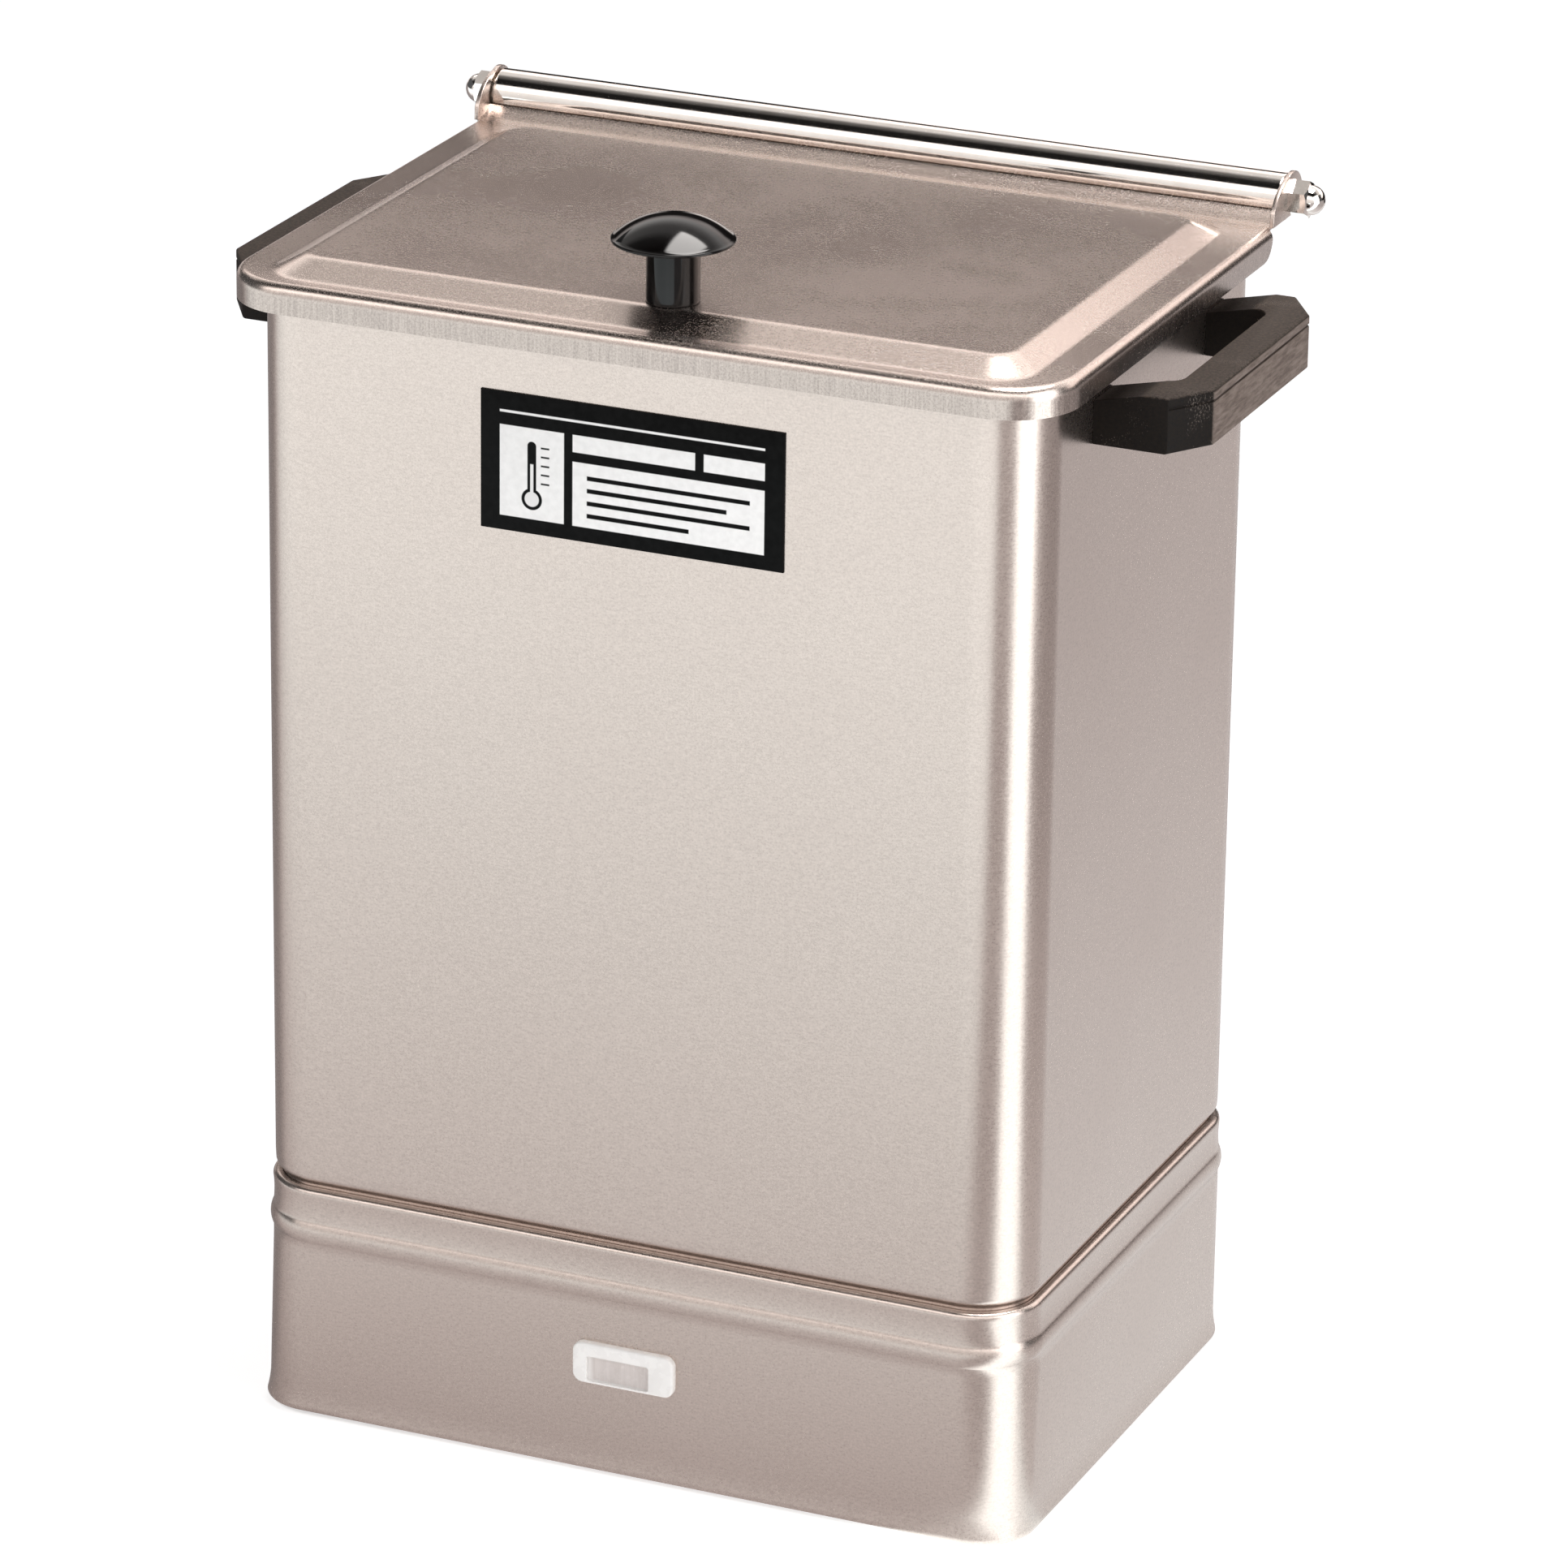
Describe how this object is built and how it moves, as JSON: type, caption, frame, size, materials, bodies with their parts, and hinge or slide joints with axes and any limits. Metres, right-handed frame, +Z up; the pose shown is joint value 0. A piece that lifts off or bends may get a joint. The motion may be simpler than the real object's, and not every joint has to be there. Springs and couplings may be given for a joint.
{
  "type": "hot pack heater",
  "caption": "Steel bench tank on a base housing with a rear hinged lid, knob, side grips, pilot lamp and a wire rack for heat packs.",
  "frame": {"origin": "on the bench under the middle of the body, which is within 3 mm of the middle of the overall footprint", "axes": "+Z up, the longest extent; +X along the width, to the right seen from the front; -Y towards the front with the plate and the pilot lamp"},
  "size_m": [0.3444, 0.2232, 0.435],
  "materials": {
    "brushed": "satin brushed",
    "tank_steel": "satin",
    "plain_steel": "plain zinc plated or bright",
    "polished": "polished",
    "wire_steel": "bright wire",
    "fibre": "fibre wool",
    "knob_black": "gloss",
    "handle_brown": "mottled satin",
    "plate_black": "satin",
    "lens_white": "translucent",
    "lamp_glass": "clear",
    "moulded_white": "satin",
    "moulded_black": "satin",
    "bead_white": "glazed",
    "brass_part": "plain",
    "rubber_black": "matt",
    "lead_black": "satin insulation"
  },
  "bodies": {
    "cabinet": {"jacket": "brushed", "inner_tank": "tank_steel", "insulation_sleeve": "fibre", "insulation_pad": "fibre", "base_housing": "brushed", "bottom_plate": "plain_steel", "hinge_tube": "polished", "hinge_bracket": "tank_steel", "right_handle": "handle_brown", "left_handle": "handle_brown", "front_plate": "plate_black", "pilot_lens": "lens_white", "pilot_lamp": "lamp_glass", "lamp_carrier": "moulded_white", "heating_element": "plain_steel", "thermostat_bulb": "brass_part", "thermostat_body": "moulded_black", "terminal_block": "moulded_white", "cord_bushing": "rubber_black", "tie_studs": "plain_steel", "tie_nuts": "plain_steel", "rubber_feet": "rubber_black", "foot_screws": "plain_steel", "foot_nuts": "plain_steel", "tube_plugs": "brass_part", "bracket_rivets": "plain_steel", "handle_screws": "plain_steel", "element_terminals": "bead_white", "element_clamps": "plain_steel", "clamp_studs": "plain_steel", "clamp_nuts": "plain_steel", "thermostat_screws": "plain_steel", "block_screws": "brass_part", "leads": "lead_black"},
    "lid": {"lid": "brushed", "left_ear": "brushed", "right_ear": "brushed", "hinge_rod": "plain_steel", "hinge_washers": "plain_steel", "acorn_nuts": "polished", "knob": "knob_black", "knob_screw": "plain_steel"},
    "rack": {"rack_floor": "wire_steel", "rack_dividers": "wire_steel", "rack_bails": "wire_steel"},
    "thermostat_stem": {"thermostat_stem": "brass_part"}
  },
  "joints": [
    {"name": "lid_hinge", "type": "hinge", "parent": "cabinet", "child": "lid", "pos_m": [0, 0.105, 0.4055], "axis": [-1, 0, 0], "range_deg": [0, 105]},
    {"name": "rack_lift", "type": "slide", "parent": "cabinet", "child": "rack", "axis": [0, 0, 1], "range_m": [0, 0.015]},
    {"name": "thermostat_adjust", "type": "hinge", "parent": "cabinet", "child": "thermostat_stem", "pos_m": [0.045, -0.02, 0.005], "axis": [0, 0, -1], "range_deg": [0, 270]}
  ]
}
